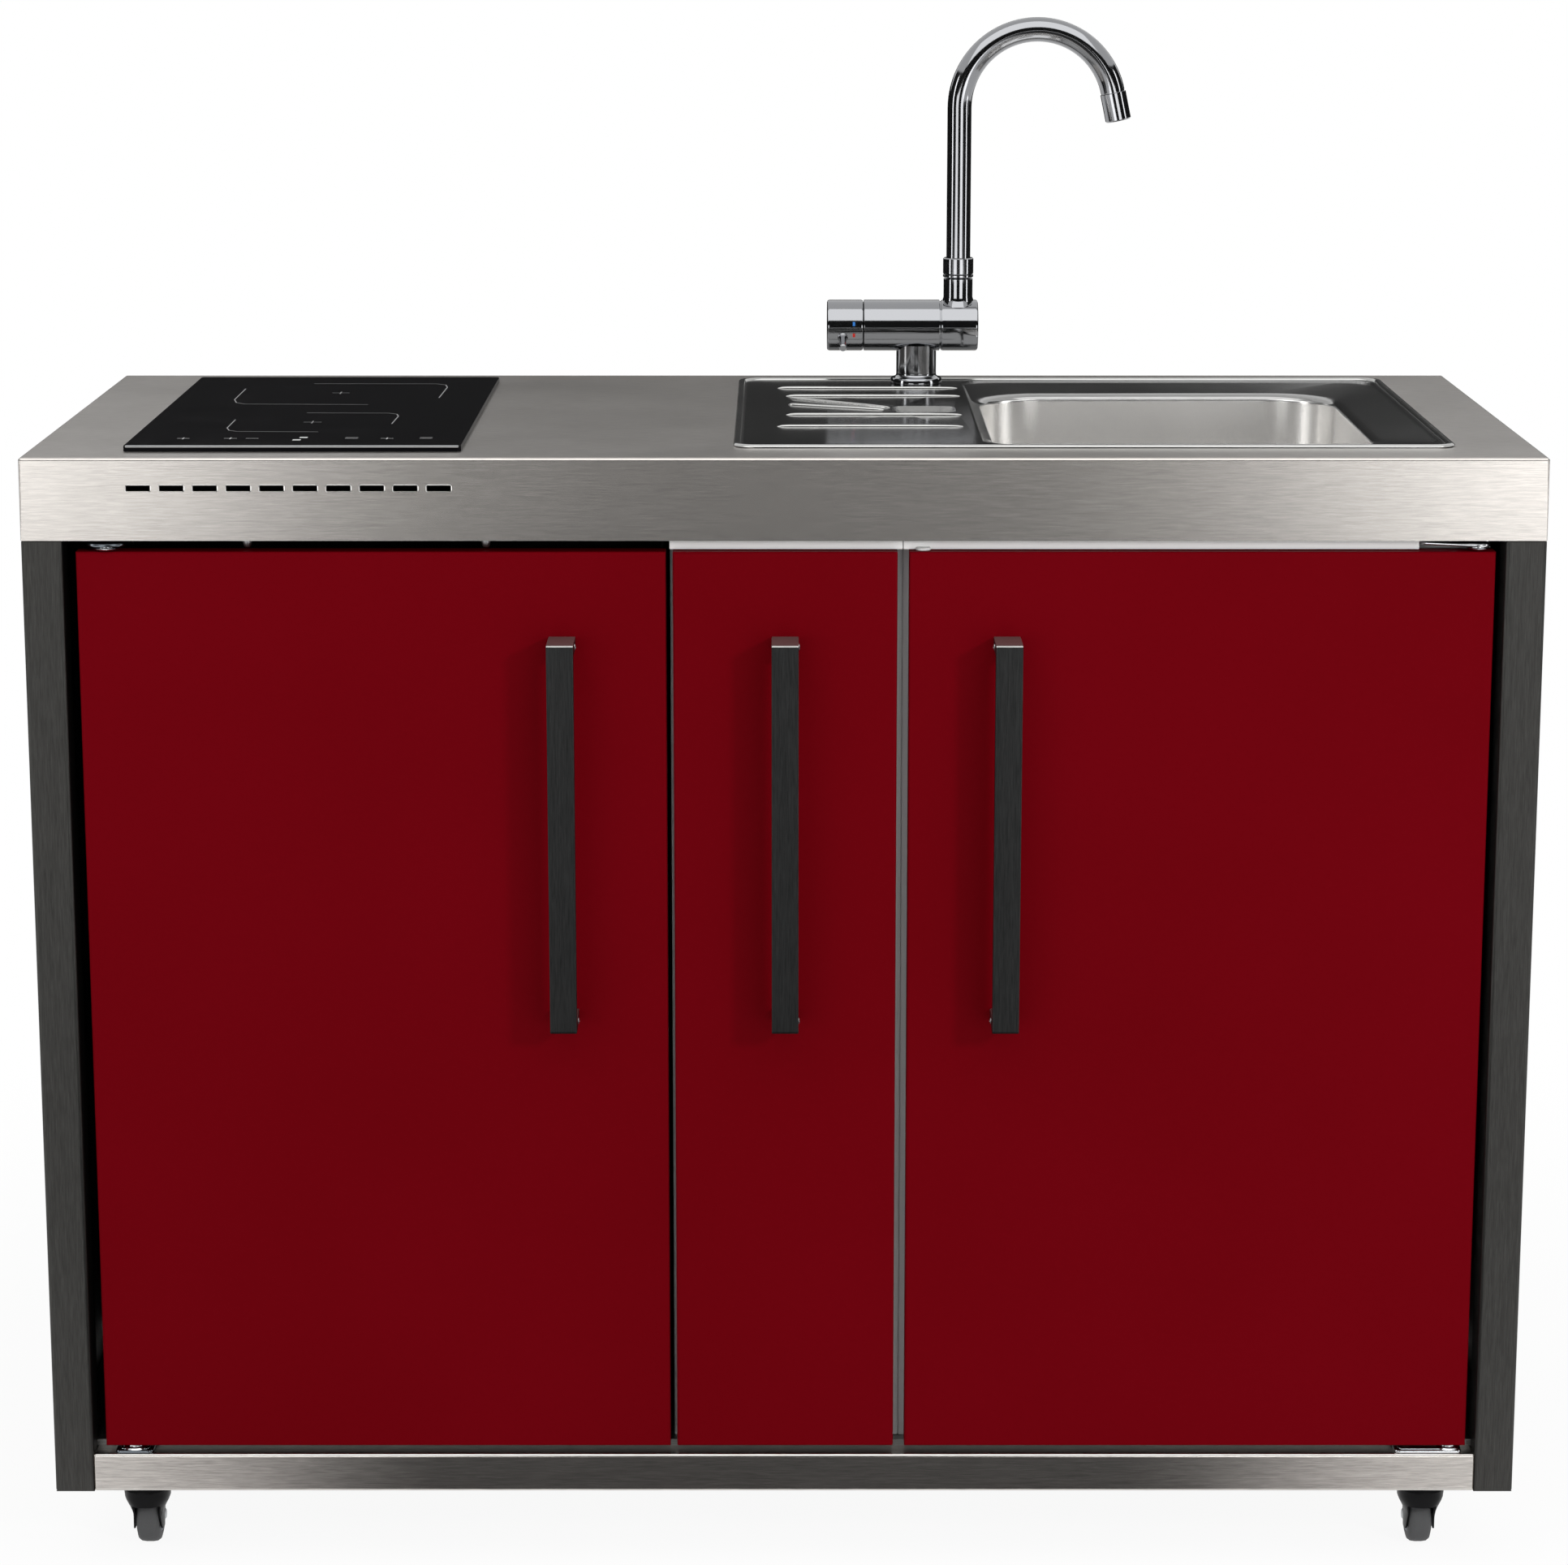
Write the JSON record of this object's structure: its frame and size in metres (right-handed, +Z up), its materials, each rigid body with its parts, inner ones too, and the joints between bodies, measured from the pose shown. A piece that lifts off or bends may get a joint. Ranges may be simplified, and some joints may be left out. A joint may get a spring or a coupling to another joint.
{
  "type": "outdoor kitchen",
  "caption": "Free-standing outdoor kitchen on casters: brushed steel worktop with induction hob and sink with mixer tap, over a fridge, a pull-out and a sink cabinet with dark red fronts.",
  "frame": {"origin": "centre of the bounding box on the floor", "axes": "X along the worktop to the viewer's right, Y to the back, Z up; the fronts face -Y"},
  "size_m": [1.3, 0.653, 1.3505],
  "materials": {
    "worktop_steel": "brushed",
    "post_steel": "brushed",
    "sink_steel": "satin",
    "panel_steel": "satin",
    "red_paint": "gloss",
    "white_paint": "satin",
    "black_paint": "satin",
    "black_glass": "gloss",
    "clear_glass": "gloss",
    "chrome": "polished",
    "zinc_steel": "satin",
    "coil_metal": "satin",
    "white_plastic": "satin",
    "seal_rubber": "matte",
    "black_plastic": "matte",
    "grey_rubber": "matte"
  },
  "bodies": {
    "kitchen": {"worktop": "worktop_steel", "rail_front": "worktop_steel", "rail_rear": "worktop_steel", "side_rails": "worktop_steel", "front_posts": "post_steel", "rear_posts": "post_steel", "sink": "sink_steel", "sink_bowl": "sink_steel", "sink_bowl_corners": "sink_steel", "back_panel": "panel_steel", "side_panels": "panel_steel", "base_panel": "panel_steel", "pullout_cabinet": "white_paint", "sink_cabinet": "white_paint", "fridge_cabinet": "black_paint", "hob_casing": "black_paint", "fridge_compressor": "black_paint", "hob_glass": "black_glass", "fridge_shelves": "clear_glass", "tap_base": "chrome", "tap_body": "chrome", "tap_shank": "chrome", "sink_strainer": "chrome", "fridge_hinges": "chrome", "top_frame": "zinc_steel", "corner_gussets": "zinc_steel", "sink_door_hinges": "zinc_steel", "runner_tracks": "zinc_steel", "caster_plates": "zinc_steel", "induction_coils": "coil_metal", "fridge_liner": "white_plastic", "sink_trap": "white_plastic"},
    "fridge_door_unit": {"fridge_door": "red_paint", "fridge_door_liner": "white_plastic", "fridge_door_gasket": "seal_rubber", "fridge_handle": "post_steel"},
    "pullout_unit": {"pullout_front": "red_paint", "pullout_frame": "zinc_steel", "pullout_trays": "zinc_steel", "runner_slides": "zinc_steel", "pullout_handle": "post_steel"},
    "sink_door_unit": {"sink_door": "red_paint", "sink_door_handle": "post_steel"},
    "spout_unit": {"tap_collar": "chrome", "tap_spout": "chrome", "tap_aerator": "chrome"},
    "knob_unit": {"tap_knob": "chrome", "tap_lever": "chrome"},
    "fork_front_left": {"caster_fork_front_left": "black_plastic"},
    "wheel_front_left": {"caster_wheel_front_left": "grey_rubber"},
    "brake_front_left": {"caster_brake_front_left": "black_plastic"},
    "fork_front_right": {"caster_fork_front_right": "black_plastic"},
    "wheel_front_right": {"caster_wheel_front_right": "grey_rubber"},
    "brake_front_right": {"caster_brake_front_right": "black_plastic"},
    "fork_rear_left": {"caster_fork_rear_left": "black_plastic"},
    "wheel_rear_left": {"caster_wheel_rear_left": "grey_rubber"},
    "fork_rear_right": {"caster_fork_rear_right": "black_plastic"},
    "wheel_rear_right": {"caster_wheel_rear_right": "grey_rubber"}
  },
  "joints": [
    {"name": "fridge_door_hinge", "type": "hinge", "parent": "kitchen", "child": "fridge_door_unit", "pos_m": [-0.579, -0.2705, 0.5], "axis": [0, 0, -1], "range_deg": [0, 105]},
    {"name": "pullout_slide", "type": "slide", "parent": "kitchen", "child": "pullout_unit", "axis": [0, -1, 0], "range_m": [0, 0.4]},
    {"name": "sink_door_hinge", "type": "hinge", "parent": "kitchen", "child": "sink_door_unit", "pos_m": [0.593, -0.2705, 0.5], "axis": [0, 0, 1], "range_deg": [0, 105]},
    {"name": "spout_swivel", "type": "hinge", "parent": "kitchen", "child": "spout_unit", "pos_m": [0.168, 0.2525, 1.11], "axis": [0, 0, 1], "range_deg": [-150, 150]},
    {"name": "tap_knob_turn", "type": "hinge", "parent": "kitchen", "child": "knob_unit", "pos_m": [0.0595, 0.2525, 1.057], "axis": [-1, 0, 0], "range_deg": [-45, 90]},
    {"name": "swivel_front_left", "type": "hinge", "parent": "kitchen", "child": "fork_front_left", "pos_m": [-0.576, -0.2335, 0.066], "axis": [0, 0, 1], "continuous": true},
    {"name": "roll_front_left", "type": "hinge", "parent": "fork_front_left", "child": "wheel_front_left", "pos_m": [-0.576, -0.2175, 0.025], "axis": [1, 0, 0], "continuous": true},
    {"name": "brake_front_left", "type": "hinge", "parent": "fork_front_left", "child": "brake_front_left", "pos_m": [-0.576, -0.2075, 0.054], "axis": [-1, 0, 0], "range_deg": [0, 12]},
    {"name": "swivel_front_right", "type": "hinge", "parent": "kitchen", "child": "fork_front_right", "pos_m": [0.576, -0.2335, 0.066], "axis": [0, 0, 1], "continuous": true},
    {"name": "roll_front_right", "type": "hinge", "parent": "fork_front_right", "child": "wheel_front_right", "pos_m": [0.576, -0.2175, 0.025], "axis": [1, 0, 0], "continuous": true},
    {"name": "brake_front_right", "type": "hinge", "parent": "fork_front_right", "child": "brake_front_right", "pos_m": [0.576, -0.2075, 0.054], "axis": [-1, 0, 0], "range_deg": [0, 12]},
    {"name": "swivel_rear_left", "type": "hinge", "parent": "kitchen", "child": "fork_rear_left", "pos_m": [-0.576, 0.2765, 0.066], "axis": [0, 0, 1], "continuous": true},
    {"name": "roll_rear_left", "type": "hinge", "parent": "fork_rear_left", "child": "wheel_rear_left", "pos_m": [-0.576, 0.2925, 0.025], "axis": [1, 0, 0], "continuous": true},
    {"name": "swivel_rear_right", "type": "hinge", "parent": "kitchen", "child": "fork_rear_right", "pos_m": [0.576, 0.2765, 0.066], "axis": [0, 0, 1], "continuous": true},
    {"name": "roll_rear_right", "type": "hinge", "parent": "fork_rear_right", "child": "wheel_rear_right", "pos_m": [0.576, 0.2925, 0.025], "axis": [1, 0, 0], "continuous": true}
  ]
}
